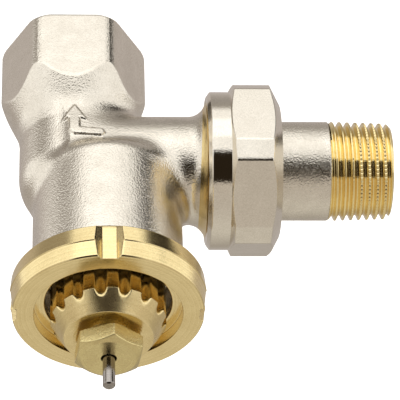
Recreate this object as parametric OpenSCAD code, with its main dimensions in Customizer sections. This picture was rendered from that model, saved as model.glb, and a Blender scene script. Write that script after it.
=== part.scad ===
// Angle-pattern thermostatic radiator valve with its union tail, without a sensor head.
// The origin is the centre of the inlet mouth. +Z runs up the spindle and +X out of the union.

/* [Layout] */
// Height of the outlet axis above the inlet mouth
outlet_height = 25.4; // [21.1:0.1:31]
// Distance from the inlet axis to the spindle axis, towards the outlet
spindle_offset = 5.6; // [4.6:0.1:6.8]
// Rise from the outlet axis to the collar's front face
head_rise = 29.9; // [28:0.1:36]
// Distance from the inlet axis to the free end of the tail
tail_reach = 52.8; // [44:0.1:64]

/* [Body] */
// Inlet hexagon, across its flats
inlet_hex_af = 22; // [20:0.1:27]
// Diameter to which the inlet hexagon's corners are turned
inlet_corner_d = 24.5; // [23:0.1:31]
// Length of the inlet hexagon at its corners
inlet_hex_length = 10.6; // [8.8:0.1:13]
// Height at which the cone above the hexagon reaches the round body
inlet_blend_top = 18.6; // [16:0.1:22]
// Round body above the inlet hexagon
inlet_body_d = 18; // [17:0.1:21.6]
// Waterway between the inlet thread and the seat
inlet_bore_d = 12.4; // [10.3:0.1:13.5]
// Boss round the spindle
boss_d = 24.5; // [23:0.1:29.4]
// Radius on the boss's lower edge
boss_edge_r = 3; // [1:0.1:3.6]
// Neck between the boss and the union
neck_d = 18.1; // [16:0.1:20]
// Radius of the flare from the neck up to the union thread
flare_r = 3; // [2.4:0.1:3.4]
// Waterway through the neck
outlet_bore_d = 9.6; // [8:0.1:10.2]
// Height of the raised flow arrow above the body
arrow_relief = 0.3; // [0.1:0.05:0.5]

/* [Threads] */
// Outside diameter of the 3/8 pipe thread, inlet and tail
pipe_thread_d = 16.662; // [15:0.001:20]
// Pitch of the 3/8 pipe thread
pipe_pitch = 1.337; // [1.2:0.001:1.6]
// Length of the inlet thread
inlet_thread_length = 10; // [8:0.1:12]
// Length of the tail thread
tail_thread_length = 10.4; // [8.7:0.1:12.5]
// Outside diameter of the 5/8 union thread
union_thread_d = 22.911; // [20:0.001:27.5]
// Pitch of the 5/8 union thread
union_pitch = 1.814; // [1.6:0.001:2]
// Length of the body's union thread
union_thread_length = 7.2; // [6:0.1:8.6]

/* [Seat and plug] */
// Drop from the outlet axis to the seat
seat_drop = 3.4; // [2.9:0.1:4]
// Bore of the seat
seat_bore_d = 8; // [6.7:0.1:9.6]
// Width of the seat's land
seat_land = 1.2; // [0.8:0.1:1.5]
// Height of the seat's rim above the chamber floor
seat_rim_h = 1; // [0.6:0.1:1.2]
// Bore of the chamber round the seat, inside the neck
seat_chamber_d = 13.4; // [12.8:0.1:14]
// Bore of the chamber above that, which takes the bonnet
chamber_d = 16.4; // [16:0.1:17]
// Lift of the open plug above the seat
plug_lift = 2.2; // [1.8:0.05:2.6]
// Thickness of the rubber seat disc
disc_t = 2; // [1.6:0.1:2.4]
// Hexagon nut under the seat disc, across its flats
disc_nut_af = 5.5; // [5:0.1:6]

/* [Head] */
// Outside diameter of the notched collar
collar_d = 32.2; // [28:0.1:38.6]
// Width of the flat floor of each collar notch
notch_floor_w = 2.4; // [1.6:0.1:3]
// Radius of each side of a collar notch
notch_side_r = 1.4; // [1:0.1:1.7]
// Depth of each collar notch
notch_depth = 1.3; // [0.8:0.1:1.4]
// Recess of the collar round the bonnet
head_recess_d = 20.4; // [19.6:0.1:21.4]
// Counterbore in the collar's front face
collar_counterbore_d = 23.8; // [22.6:0.1:24.6]
// Fluted part of the bonnet, across its lands
flute_d = 18.5; // [18:0.1:19]
// Number of flutes round the bonnet
flute_count = 15; // [10:1:18]
// Depth of each flute
flute_depth = 0.7; // [0.4:0.05:0.9]
// Flat rim on top of the bonnet
bonnet_rim_d = 14.2; // [12:0.1:16]
// Outside diameter of the thread that holds the bonnet in the body
bonnet_thread_d = 17.5; // [17:0.1:17.8]
// Gland nut, across its flats
gland_af = 10; // [8.8:0.1:12]
// Height of the gland nut's hexagon
gland_hex_h = 2.95; // [2.4:0.05:3.5]
// Thread of the gland nut
gland_thread_d = 8; // [7.6:0.1:8.6]

/* [Moving train] */
// Diameter of the spindle
spindle_d = 4; // [3.4:0.1:4.8]
// Diameter of the push pin
pin_d = 2; // [1.7:0.1:2.4]
// Length of push pin that stands out of the gland nut when the valve is open
pin_stand = 5.35; // [3:0.05:6.4]
// Wire of the return spring
spring_wire = 0.8; // [0.6:0.05:0.95]
// Turns of the return spring
spring_turns = 5; // [3:1:7]

/* [Union] */
// Wall of the nut's round part outside the thread
nut_wall = 1.75; // [1.4:0.05:2.2]
// Length of the nut's round part
nut_collar_length = 3.75; // [3:0.05:4.5]
// Length of the nut's hexagon
nut_hex_length = 8.45; // [7:0.05:10]
// Turn of the nut's hexagon about the outlet axis
nut_turn = 57.3; // [0:0.1:60]
// Key hexagon in the tail's free end, across its flats
tail_key_af = 11; // [9.2:0.1:11.6]

/* [Fits] */
// Radial clearance of the spindle and the push pin in their guides
running_clear = 0.04; // [0.02:0.01:0.08]
// Clearance between union pieces that turn past each other
turning_clear = 0.15; // [0.1:0.01:0.25]
// Radial play of the nut's thread on the body's thread
thread_play = 0.25; // [0.2:0.01:0.3]

/* [Hidden] */
$fn = 96;

nickel = "#bdb6aa";
brass = "#d1b25c";
steel = "#8f9094";
rubber = "#2b2b2c";
ptfe = "#e9e7df";

over = 0.02;           // how far a cut runs past the face that it opens
corner = 2 / sqrt(3);  // across corners over across flats of a hexagon

// Pipe threads: depth of a 55 degree profile, and its flats, as shares of the pitch
depth_share = 0.6403;
flank_share = 1 / 3;
flat_share = 1 / 6;
pipe_depth = depth_share * pipe_pitch;
union_depth = depth_share * union_pitch;
pipe_taper = 1 / 32;

// Heights of the seat and the chamber
seat_z = outlet_height - seat_drop;
seat_rim_r = seat_bore_d / 2 + seat_land;
chamber_floor = seat_z - seat_rim_h;
partition_t = 1.5;
inlet_bore_top = chamber_floor - partition_t;
seat_pocket_depth = 4;
boss_bottom = outlet_height + 2;
chamber_step_z = boss_bottom + boss_edge_r;
dome_z = outlet_height + 2.1;

// Heights of the head
collar_face = outlet_height + head_rise;
collar_cone_z = collar_face - 8.3;
collar_rim_z = collar_face - 5.8;
collar_step_z = collar_face - 2.9;
collar_edge = 0.3;
collar_band = 1.2;
ledge_z = collar_face - 2.15;
spigot_top = ledge_z - 1.15;
spigot_r = boss_d / 2 - 0.85;
bonnet_seat = collar_face - 7.7;
bonnet_thread_z = bonnet_seat - 8;
bonnet_bottom = bonnet_seat - 14.2;
flute_top = collar_face + 1.5;
bonnet_top = flute_top + 3.2;
bonnet_skirt_r = chamber_d / 2 - 0.1;

// Gland nut, its seals and the hole for the pin
gland_gap = 1;
gland_hex_z = bonnet_top + gland_gap;
gland_face = gland_hex_z + gland_hex_h;
gland_bottom = bonnet_top - 5;
gland_neck_r = gland_thread_d / 2;
gland_ring_wire = 0.9;
gland_ring_z = gland_bottom + 1.6;
pin_hole_r = pin_d / 2 + 0.23;
pin_ring_wire = 1.5;
pin_ring_r = pin_d / 2 + running_clear + pin_ring_wire / 2;
gland_pocket_r = pin_ring_r + pin_ring_wire / 2;
gland_bush_h = 1.3;
pin_ring_z = gland_bottom + gland_bush_h + pin_ring_wire / 2;
pin_ring_step = pin_ring_wire + 0.1;
gland_pocket_top = pin_ring_z + pin_ring_step + pin_ring_wire / 2;

// Moving train, with the valve open
pin_tip = gland_face + pin_stand;
pin_head_h = 1.2;
pin_head_r = pin_d / 2 + 1;
pin_bottom = gland_bottom - 0.3 - pin_head_h;
spindle_top = pin_bottom;
clip_h = 0.6;
clip_z = spindle_top - 0.9 - clip_h;
spring_seat_h = 1;
spring_top = clip_z - spring_seat_h;
spring_floor = bonnet_seat - 5.7;
spring_side_clear = 0.25;
spring_mean_r = spindle_d / 2 + spring_side_clear + spring_wire / 2;
spring_cavity_r = spring_mean_r + spring_wire / 2 + 0.5;
spring_gap = 0.02;
guide_r = spindle_d / 2 + running_clear;
spindle_ring_wire = 1.3;
spindle_ring_r = guide_r + spindle_ring_wire / 2;
spindle_ring_z = bonnet_bottom + 2.6;
disc_z = seat_z + plug_lift;
disc_r = seat_bore_d / 2 + 0.9;
disc_proud = 0.7;
plug_wall = 0.7;
plug_floor_t = 1.5;
plug_hub_h = 1.8;
plug_top = disc_z + disc_t + plug_floor_t + plug_hub_h;
tang_r = spindle_d / 2 - 0.5;
disc_washer_t = 0.6;
disc_nut_h = 2;
disc_nut_z = disc_z - disc_washer_t - disc_nut_h;
spindle_end = disc_nut_z - 0.3;
bonnet_ring_wire = 1.5;
bonnet_ring_r = chamber_d / 2 - bonnet_ring_wire / 2;
bonnet_ring_z = bonnet_bottom + 6.8 - bonnet_ring_wire;

// Union, along the outlet axis
nut_start = 22;
nut_hex_start = nut_start + nut_collar_length;
nut_end = nut_hex_start + nut_hex_length;
nut_collar_r = union_thread_d / 2 + nut_wall;
nut_af = 2 * nut_collar_r + 0.6;
nut_corner_r = nut_af / 2 + 1.3;
nut_lip_t = 3;
nut_lip_x = nut_end - nut_lip_t;
flare_end = nut_start - 0.12;
mouth_x = flare_end + union_thread_length;
tail_plain_r = pipe_thread_d / 2 - 0.06;
tail_thread_x = tail_reach - tail_thread_length;
tail_flange_r = union_thread_d / 2 - union_depth - turning_clear;
tail_nose_r = tail_plain_r + 0.35;
tail_nose_length = 2.8;
mouth_r = tail_nose_r + turning_clear;
mouth_depth = tail_nose_length + turning_clear;
tail_bore_r = tail_key_af / 2;
tail_key_depth = 7;
tail_ring_wire = 1.4;
tail_ring_r = mouth_r - running_clear - tail_ring_wire / 2;
tail_ring_x = mouth_x - tail_nose_length / 2 + 0.1;

// ---------------------------------------------------------------- shared shapes

module on_spindle() {
    translate([spindle_offset, 0, 0]) children();
}

module on_outlet() {
    translate([0, 0, outlet_height]) rotate([0, 90, 0]) children();
}

// A hexagonal bar, by its size across the flats
module hex_bar(af, h) {
    cylinder(d = af * corner, h = h, $fn = 6);
}

module tube(outer_r, inner_r, h) {
    difference() {
        cylinder(r = outer_r, h = h);
        translate([0, 0, -over]) cylinder(r = inner_r, h = h + 2 * over);
    }
}

module o_ring(mean_r, wire_d) {
    rotate_extrude() translate([mean_r, 0]) circle(d = wire_d, $fn = 32);
}

// Bar with annular thread ridges. Each crest is a short true cylinder.
module thread_bar(r, depth, pitch, length, taper = 0) {
    turns = floor(length / pitch);
    ridges = [
        for (i = [0:turns - 1])
            let (z = i * pitch, crest = r - taper * z)
            each [
                [crest - depth, z],
                [crest, z + flank_share * pitch],
                [crest, z + (flank_share + flat_share) * pitch],
                [crest - depth, z + (2 * flank_share + flat_share) * pitch]
            ]
    ];
    end_r = r - taper * (turns - 1) * pitch - depth;
    rotate_extrude() polygon(concat([[0, 0]], ridges, [[end_r, length], [0, length]]));
}

// Helical wire of round section standing on z = 0
module coil(mean_r, wire_d, h, turns) {
    sides = 8;
    steps = 16 * turns;
    rise = h - wire_d;
    points = [
        for (i = [0:steps], j = [0:sides - 1])
            let (a = 360 * turns * i / steps, b = 360 * j / sides)
            let (r = mean_r + wire_d / 2 * cos(b), z = wire_d / 2 * (1 + sin(b)) + rise * i / steps)
            [r * cos(a), r * sin(a), z]
    ];
    sleeve = [
        for (i = [0:steps - 1], j = [0:sides - 1])
            let (k = (j + 1) % sides)
            [i * sides + j, (i + 1) * sides + j, (i + 1) * sides + k, i * sides + k]
    ];
    first = [[for (j = [0:sides - 1]) j]];
    last = [[for (j = [sides - 1:-1:0]) steps * sides + j]];
    polyhedron(points, concat(sleeve, first, last));
}

// ---------------------------------------------------------------- forged body

module inlet_end() {
    chamfer_h = 0.7;
    chamfer_r = 1;
    turned_r = inlet_corner_d / 2;
    intersection() {
        hex_bar(inlet_hex_af, inlet_blend_top);
        rotate_extrude() polygon([
            [0, 0],
            [turned_r - chamfer_r, 0],
            [turned_r, chamfer_h],
            [turned_r, inlet_hex_length],
            [inlet_body_d / 2, inlet_blend_top],
            [0, inlet_blend_top]
        ]);
    }
    translate([0, 0, inlet_hex_length]) cylinder(d = inlet_body_d, h = dome_z - inlet_hex_length);
    translate([0, 0, dome_z]) sphere(d = inlet_body_d);
}

module boss() {
    r = boss_d / 2;
    on_spindle() {
        translate([0, 0, boss_bottom]) rotate_extrude() {
            square([r - boss_edge_r, collar_cone_z - boss_bottom]);
            translate([0, boss_edge_r]) square([r, collar_cone_z - boss_bottom - boss_edge_r]);
            translate([r - boss_edge_r, boss_edge_r]) circle(r = boss_edge_r);
        }
        translate([0, 0, boss_bottom + boss_edge_r])
            cylinder(r = spigot_r, h = spigot_top - boss_bottom - boss_edge_r);
    }
}

module neck() {
    neck_r = neck_d / 2;
    rim_r = union_thread_d / 2 - 0.25;
    flare_centre = flare_end - sqrt(pow(flare_r, 2) - pow(neck_r + flare_r - rim_r, 2));
    on_outlet() {
        cylinder(r = neck_r, h = flare_end);
        difference() {
            translate([0, 0, flare_centre]) cylinder(r = rim_r, h = flare_end - flare_centre);
            rotate_extrude() translate([neck_r + flare_r, flare_centre]) circle(r = flare_r);
        }
        translate([0, 0, flare_end])
            thread_bar(union_thread_d / 2, union_depth, union_pitch, union_thread_length);
    }
}

// Bent arrow that points down to the inlet, raised on the wall that faces +Y
module flow_arrow() {
    tip_z = outlet_height - 6.6;
    shaft = [-0.7, 1.05];
    tail = [outlet_height - 1.2, outlet_height + 0.3];
    barb_z = tip_z + 3.5;
    notch_z = tip_z + 3.1;
    translate([0, inlet_body_d / 2 + arrow_relief, 0]) rotate([90, 0, 0])
        linear_extrude(height = 1.5 + arrow_relief) polygon([
            [0.2, tip_z],
            [2.2, barb_z],
            [shaft[1], notch_z],
            [shaft[1], tail[0]],
            [4.7, tail[0]],
            [5.2, (tail[0] + tail[1]) / 2],
            [4.7, tail[1]],
            [0.1, tail[1]],
            [shaft[0], tail[0] + 0.7],
            [shaft[0], notch_z],
            [-1.9, barb_z]
        ]);
}

module inlet_cuts() {
    minor_r = pipe_thread_d / 2 - pipe_depth;
    countersink = 0.4;
    thread_start = 0.6;
    translate([0, 0, -over]) cylinder(r = minor_r, h = inlet_thread_length + over);
    translate([0, 0, thread_start])
        thread_bar(pipe_thread_d / 2, pipe_depth, pipe_pitch, inlet_thread_length - thread_start);
    translate([0, 0, -over])
        cylinder(r1 = minor_r + countersink + over, r2 = minor_r, h = countersink + over);
    translate([0, 0, inlet_thread_length - over])
        cylinder(d = inlet_bore_d, h = inlet_bore_top - inlet_thread_length + over);
}

module chamber_cuts() {
    on_spindle() {
        translate([0, 0, seat_z - seat_pocket_depth])
            cylinder(d = seat_bore_d, h = seat_pocket_depth + over);
        difference() {
            translate([0, 0, chamber_floor])
                cylinder(d = seat_chamber_d, h = chamber_step_z - chamber_floor + over);
            translate([0, 0, chamber_floor - over]) cylinder(r = seat_rim_r, h = seat_rim_h + over);
        }
        translate([0, 0, chamber_step_z]) cylinder(d = chamber_d, h = bonnet_seat - chamber_step_z);
        translate([0, 0, bonnet_thread_z])
            cylinder(d = bonnet_thread_d, h = bonnet_seat - bonnet_thread_z + over);
        translate([0, 0, bonnet_seat]) cylinder(d = head_recess_d, h = spigot_top - bonnet_seat + over);
    }
}

module outlet_cuts() {
    rim_gap = 0.2;
    bore_start = spindle_offset + seat_rim_r + rim_gap;
    cone_h = 2.2;
    on_outlet() {
        translate([0, 0, bore_start]) cylinder(d = outlet_bore_d, h = mouth_x - bore_start);
        translate([0, 0, mouth_x - mouth_depth - cone_h])
            cylinder(d1 = outlet_bore_d, r2 = tail_bore_r + 0.6, h = cone_h + over);
        translate([0, 0, mouth_x - mouth_depth]) cylinder(r = mouth_r, h = mouth_depth + over);
    }
}

module valve_body() {
    color(nickel) difference() {
        union() {
            inlet_end();
            boss();
            neck();
            flow_arrow();
        }
        inlet_cuts();
        chamber_cuts();
        outlet_cuts();
    }
}

// ---------------------------------------------------------------- head

module collar_notch() {
    floor_r = collar_d / 2 - notch_depth;
    h = collar_face - collar_cone_z + 2 * over;
    translate([floor_r, -notch_floor_w / 2, collar_cone_z - over]) cube([3, notch_floor_w, h]);
    for (side = [-1, 1])
        translate([floor_r + notch_side_r, side * notch_floor_w / 2, collar_cone_z - over])
            cylinder(r = notch_side_r, h = h);
}

module head_collar() {
    r = collar_d / 2;
    color(brass) on_spindle() difference() {
        rotate_extrude() polygon([
            [spigot_r, collar_cone_z],
            [boss_d / 2, collar_cone_z],
            [r - collar_edge, collar_rim_z],
            [r, collar_step_z - collar_band],
            [r, collar_step_z],
            [r - 0.12, collar_step_z + 0.12],
            [r - 0.2, collar_face - 0.2],
            [r - 0.4, collar_face],
            [collar_counterbore_d / 2, collar_face],
            [collar_counterbore_d / 2, ledge_z],
            [head_recess_d / 2, ledge_z],
            [head_recess_d / 2, spigot_top],
            [spigot_r, spigot_top]
        ]);
        for (turn = [0:90:270]) rotate(turn) collar_notch();
    }
}

module flutes() {
    cutter_r = 1.1;
    first_turn = 98.4;
    for (i = [0:flute_count - 1])
        rotate(first_turn + 360 * i / flute_count)
            translate([flute_d / 2 - flute_depth + cutter_r, 0, bonnet_seat - over])
                cylinder(r = cutter_r, h = bonnet_top - bonnet_seat, $fn = 32);
}

module bonnet() {
    rim_edge = 0.25;
    color(brass) on_spindle() difference() {
        union() {
            rotate_extrude() polygon([
                [0, bonnet_bottom],
                [bonnet_skirt_r - 0.6, bonnet_bottom],
                [bonnet_skirt_r, bonnet_bottom + 0.6],
                [bonnet_skirt_r, bonnet_thread_z],
                [bonnet_thread_d / 2, bonnet_thread_z],
                [bonnet_thread_d / 2, bonnet_seat],
                [0, bonnet_seat]
            ]);
            difference() {
                rotate_extrude() polygon([
                    [0, bonnet_seat],
                    [flute_d / 2, bonnet_seat],
                    [flute_d / 2, flute_top],
                    [bonnet_rim_d / 2 + rim_edge / 2, bonnet_top - rim_edge / 2],
                    [bonnet_rim_d / 2 - rim_edge, bonnet_top],
                    [0, bonnet_top]
                ]);
                flutes();
            }
        }
        translate([0, 0, bonnet_bottom - over])
            cylinder(r = guide_r, h = spring_floor - bonnet_bottom + 2 * over);
        translate([0, 0, spring_floor])
            cylinder(r = spring_cavity_r, h = gland_bottom - spring_floor + over);
        translate([0, 0, gland_bottom]) cylinder(r = gland_neck_r, h = bonnet_top - gland_bottom + over);
        translate([0, 0, spindle_ring_z - spindle_ring_wire / 2])
            cylinder(r = spindle_ring_r + spindle_ring_wire / 2, h = spindle_ring_wire);
        translate([0, 0, bonnet_ring_z - bonnet_ring_wire / 2])
            tube(bonnet_skirt_r + 1, bonnet_ring_r - bonnet_ring_wire / 2, bonnet_ring_wire);
    }
}

module bonnet_o_ring() {
    color(rubber) on_spindle() translate([0, 0, bonnet_ring_z]) o_ring(bonnet_ring_r, bonnet_ring_wire);
}

module spindle_o_ring() {
    color(rubber) on_spindle() translate([0, 0, spindle_ring_z])
        o_ring(spindle_ring_r, spindle_ring_wire);
}

module gland_nut() {
    face_r = 0.89 * gland_af / 2;
    cone_r = face_r + 2;
    cone_h = 2 * tan(30);
    color(brass) on_spindle() difference() {
        union() {
            translate([0, 0, gland_bottom])
                cylinder(r = gland_neck_r, h = bonnet_top - gland_bottom);
            translate([0, 0, bonnet_top]) cylinder(r = gland_neck_r - 0.5, h = gland_gap + over);
            translate([0, 0, gland_hex_z]) intersection() {
                rotate(22) hex_bar(gland_af, gland_hex_h);
                rotate_extrude() polygon([
                    [0, 0],
                    [cone_r, 0],
                    [cone_r, gland_hex_h - cone_h],
                    [face_r, gland_hex_h],
                    [0, gland_hex_h]
                ]);
            }
        }
        translate([0, 0, gland_bottom - over])
            cylinder(r = gland_pocket_r, h = gland_pocket_top - gland_bottom + over);
        translate([0, 0, gland_bottom]) cylinder(r = pin_hole_r, h = gland_face - gland_bottom + over);
        translate([0, 0, gland_ring_z - gland_ring_wire / 2])
            tube(gland_neck_r + 1, gland_neck_r - gland_ring_wire, gland_ring_wire);
    }
}

module gland_o_ring() {
    color(rubber) on_spindle() translate([0, 0, gland_ring_z])
        o_ring(gland_neck_r - gland_ring_wire / 2, gland_ring_wire);
}

module gland_bush() {
    color(ptfe) on_spindle() translate([0, 0, gland_bottom])
        tube(gland_pocket_r, pin_d / 2 + running_clear, gland_bush_h);
}

module pin_o_rings() {
    color(rubber) on_spindle() for (i = [0, 1])
        translate([0, 0, pin_ring_z + i * pin_ring_step]) o_ring(pin_ring_r, pin_ring_wire);
}

// ---------------------------------------------------------------- moving train

module pressure_pin() {
    tip_edge = 0.25;
    color(steel) on_spindle() rotate_extrude() polygon([
        [0, pin_bottom],
        [pin_head_r, pin_bottom],
        [pin_head_r, pin_bottom + pin_head_h],
        [pin_d / 2, pin_bottom + pin_head_h],
        [pin_d / 2, pin_tip - tip_edge],
        [pin_d / 2 - tip_edge, pin_tip],
        [0, pin_tip]
    ]);
}

module spindle() {
    groove_r = spindle_d / 2 - 0.35;
    color(steel) on_spindle() rotate_extrude() polygon([
        [0, spindle_end],
        [tang_r, spindle_end],
        [tang_r, plug_top],
        [spindle_d / 2, plug_top],
        [spindle_d / 2, clip_z],
        [groove_r, clip_z],
        [groove_r, clip_z + clip_h],
        [spindle_d / 2, clip_z + clip_h],
        [spindle_d / 2, spindle_top],
        [0, spindle_top]
    ]);
}

// Open retaining ring in the spindle's groove
module spindle_clip() {
    groove_r = spindle_d / 2 - 0.35;
    color(steel) on_spindle() translate([0, 0, clip_z]) difference() {
        tube(spindle_d / 2 + 0.8, groove_r, clip_h);
        translate([0, -groove_r / 2, -over]) cube([spindle_d, groove_r, clip_h + 2 * over]);
    }
}

module spring_seat() {
    color(brass) on_spindle() translate([0, 0, spring_top])
        tube(spring_cavity_r - 0.3, spindle_d / 2, spring_seat_h);
}

module return_spring() {
    color(steel) on_spindle() translate([0, 0, spring_floor])
        coil(spring_mean_r, spring_wire, spring_top - spring_floor - spring_gap, spring_turns);
}

module valve_plug() {
    outer_r = disc_r + plug_wall;
    skirt_z = disc_z + disc_proud;
    floor_z = disc_z + disc_t;
    hub_r = spindle_d / 2 + 0.8;
    color(brass) on_spindle() rotate_extrude() polygon([
        [disc_r, skirt_z],
        [outer_r, skirt_z],
        [outer_r, floor_z + plug_floor_t - 0.4],
        [outer_r - 0.4, floor_z + plug_floor_t],
        [hub_r, floor_z + plug_floor_t],
        [hub_r, plug_top],
        [tang_r, plug_top],
        [tang_r, floor_z],
        [disc_r, floor_z]
    ]);
}

module seat_disc() {
    color(rubber) on_spindle() translate([0, 0, disc_z]) tube(disc_r, tang_r, disc_t);
}

module disc_washer() {
    color(steel) on_spindle() translate([0, 0, disc_z - disc_washer_t])
        tube(disc_nut_af / 2 + 0.4, tang_r, disc_washer_t);
}

module disc_nut() {
    color(steel) on_spindle() translate([0, 0, disc_nut_z]) difference() {
        hex_bar(disc_nut_af, disc_nut_h);
        translate([0, 0, -over]) cylinder(r = tang_r, h = disc_nut_h + 2 * over);
    }
}

// ---------------------------------------------------------------- union

module nut_shape() {
    face_r = nut_af / 2 - 2.5;
    end_chamfer = 1.8;
    rotate_extrude() polygon([
        [0, nut_start],
        [nut_collar_r - 0.9, nut_start],
        [nut_collar_r, nut_start + 0.6],
        [nut_collar_r, nut_hex_start + 1],
        [0, nut_hex_start + 1]
    ]);
    intersection() {
        rotate(nut_turn) translate([0, 0, nut_hex_start]) hex_bar(nut_af, nut_hex_length);
        rotate_extrude() polygon([
            [0, nut_hex_start],
            [nut_collar_r, nut_hex_start],
            [nut_corner_r, nut_hex_start + 0.8],
            [nut_corner_r, nut_end - end_chamfer],
            [face_r, nut_end],
            [0, nut_end]
        ]);
    }
}

module union_nut() {
    thread_r = union_thread_d / 2 + thread_play;
    shift = flare_end - union_pitch;
    bore_r = thread_r - union_depth + thread_play;
    color(nickel) on_outlet() difference() {
        nut_shape();
        translate([0, 0, nut_start - over]) cylinder(r = bore_r, h = nut_lip_x - nut_start + over);
        translate([0, 0, shift])
            thread_bar(thread_r, union_depth, union_pitch, union_thread_length + union_pitch + 1);
        translate([0, 0, mouth_x]) cylinder(r = thread_r, h = nut_lip_x - mouth_x);
        translate([0, 0, nut_start - over])
            cylinder(r1 = thread_r + 0.5, r2 = bore_r, h = thread_r + 0.5 - bore_r);
        translate([0, 0, nut_start]) cylinder(r = pipe_thread_d / 2 + 2 * turning_clear, h = nut_end);
    }
}

module union_tail() {
    flange_x = mouth_x + turning_clear;
    flange_end = nut_lip_x - turning_clear;
    tip_edge = 0.6;
    groove_r = tail_ring_r - tail_ring_wire / 2;
    tip_r = pipe_thread_d / 2 - pipe_taper * tail_thread_length - tip_edge;
    bevel_r = pipe_thread_d / 2 + 1;
    color(nickel) on_outlet() difference() {
        union() {
            rotate_extrude() polygon([
                [0, flange_x - tail_nose_length],
                [tail_nose_r - 0.4, flange_x - tail_nose_length],
                [tail_nose_r, flange_x - tail_nose_length + 0.4],
                [tail_nose_r, flange_x],
                [tail_flange_r, flange_x],
                [tail_flange_r, flange_end],
                [tail_plain_r, flange_end],
                [tail_plain_r, tail_thread_x],
                [0, tail_thread_x]
            ]);
            intersection() {
                translate([0, 0, tail_thread_x])
                    thread_bar(pipe_thread_d / 2, pipe_depth, pipe_pitch, tail_thread_length, pipe_taper);
                rotate_extrude() polygon([
                    [0, 0],
                    [bevel_r, 0],
                    [bevel_r, tail_reach - bevel_r + tip_r],
                    [tip_r, tail_reach],
                    [0, tail_reach]
                ]);
            }
        }
        translate([0, 0, nut_start]) cylinder(r = tail_bore_r, h = tail_reach);
        translate([0, 0, tail_reach - tail_key_depth]) rotate(30)
            hex_bar(tail_key_af, tail_key_depth + over);
        translate([0, 0, tail_ring_x - tail_ring_wire / 2])
            tube(tail_nose_r + 1, groove_r, tail_ring_wire);
    }
}

module tail_o_ring() {
    color(rubber) on_outlet() translate([0, 0, tail_ring_x]) o_ring(tail_ring_r, tail_ring_wire);
}

valve_body();
head_collar();
bonnet();
bonnet_o_ring();
spindle_o_ring();
gland_nut();
gland_o_ring();
gland_bush();
pin_o_rings();
pressure_pin();
spindle();
spindle_clip();
spring_seat();
return_spring();
valve_plug();
seat_disc();
disc_washer();
disc_nut();
union_nut();
union_tail();
tail_o_ring();
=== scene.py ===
"""Angle thermostatic radiator valve with its union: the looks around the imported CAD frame.

Shapes are worked out in millimetres and turned into metres as each mesh is made.
Turned pieces are lathe meshes: a closed profile of (along, radius) points, carried round an axis.
The forging is the zero surface of a distance field, so that its blends run smoothly into each other.
"""
import math

import bmesh
import bpy
import numpy as np
from mathutils import Matrix, Vector


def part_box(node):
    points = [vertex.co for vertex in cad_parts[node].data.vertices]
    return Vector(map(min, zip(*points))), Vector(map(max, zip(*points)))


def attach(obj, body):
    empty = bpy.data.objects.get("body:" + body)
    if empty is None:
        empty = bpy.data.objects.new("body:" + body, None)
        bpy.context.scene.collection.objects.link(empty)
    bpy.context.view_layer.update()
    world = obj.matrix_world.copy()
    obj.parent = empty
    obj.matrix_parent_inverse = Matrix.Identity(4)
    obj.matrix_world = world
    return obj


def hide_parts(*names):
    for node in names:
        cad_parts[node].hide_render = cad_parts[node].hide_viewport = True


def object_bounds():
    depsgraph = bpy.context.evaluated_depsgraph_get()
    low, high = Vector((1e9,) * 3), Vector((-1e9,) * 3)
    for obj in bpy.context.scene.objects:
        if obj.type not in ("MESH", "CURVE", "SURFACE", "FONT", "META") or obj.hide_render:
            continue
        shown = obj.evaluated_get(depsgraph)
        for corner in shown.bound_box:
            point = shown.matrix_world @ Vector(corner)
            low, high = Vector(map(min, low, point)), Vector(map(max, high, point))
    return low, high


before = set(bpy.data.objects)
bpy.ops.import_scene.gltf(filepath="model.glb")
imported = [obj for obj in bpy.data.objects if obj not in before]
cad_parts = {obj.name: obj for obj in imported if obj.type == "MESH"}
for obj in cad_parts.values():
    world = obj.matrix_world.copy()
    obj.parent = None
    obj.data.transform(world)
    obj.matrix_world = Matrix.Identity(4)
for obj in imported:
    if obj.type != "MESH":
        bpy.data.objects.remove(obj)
cad_low, cad_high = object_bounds()

MM = 0.001
TAU = 2 * math.pi


def box_mm(node):
    """Lowest and highest corner of a CAD node, in mm."""
    low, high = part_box(node)
    return np.array(low) / MM, np.array(high) / MM


# ------------------------------------------------------------------ places, from the frame

collar_low, collar_high = box_mm("head_collar")
bonnet_low, bonnet_high = box_mm("bonnet")
gland_low, gland_high = box_mm("gland_nut")
pin_low, pin_high = box_mm("pressure_pin")
nut_low, nut_high = box_mm("union_nut")
tail_low, tail_high = box_mm("union_tail")
_, body_high = box_mm("valve_body")

SPINDLE_X = (pin_low[0] + pin_high[0]) / 2
OUTLET_Z = (tail_low[2] + tail_high[2]) / 2
COLLAR_FACE = collar_high[2]
COLLAR_BACK = collar_low[2]
BONNET_BOTTOM = bonnet_low[2]
BONNET_TOP = bonnet_high[2]
GLAND_BOTTOM = gland_low[2]
GLAND_FACE = gland_high[2]
PIN_BOTTOM = pin_low[2]
PIN_TIP = pin_high[2]
NUT_START = nut_low[0]
NUT_END = nut_high[0]
TAIL_NOSE = tail_low[0]
TAIL_END = tail_high[0]
SPIGOT_END = body_high[0]
COLLAR_R = (collar_high[1] - collar_low[1]) / 2

# ------------------------------------------------------------------ sizes of the forging, in mm

INLET_AF = 22
INLET_TURNED_R = 12.25
INLET_HEX_H = 10.6
INLET_BODY_R = 9
INLET_CONE_TOP = 18.6
MOUTH_CHAMFER, MOUTH_STEEPNESS = 0.5, 1.3
TRUNK_START = 8
DOME_Z = OUTLET_Z + 2.1
BOSS_R = 12.25
BOSS_BOTTOM = OUTLET_Z + 2
BOSS_EDGE = 3
NECK_R = 9.05
FLARE_R = 3
FLARE_END = SPIGOT_END - 7.2
SPIGOT_R = 11.4
SPIGOT_START, SPIGOT_BELOW_FACE = 40, 3.4
ARROW_RELIEF, ARROW_EDGE = 0.3, 0.16

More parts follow.
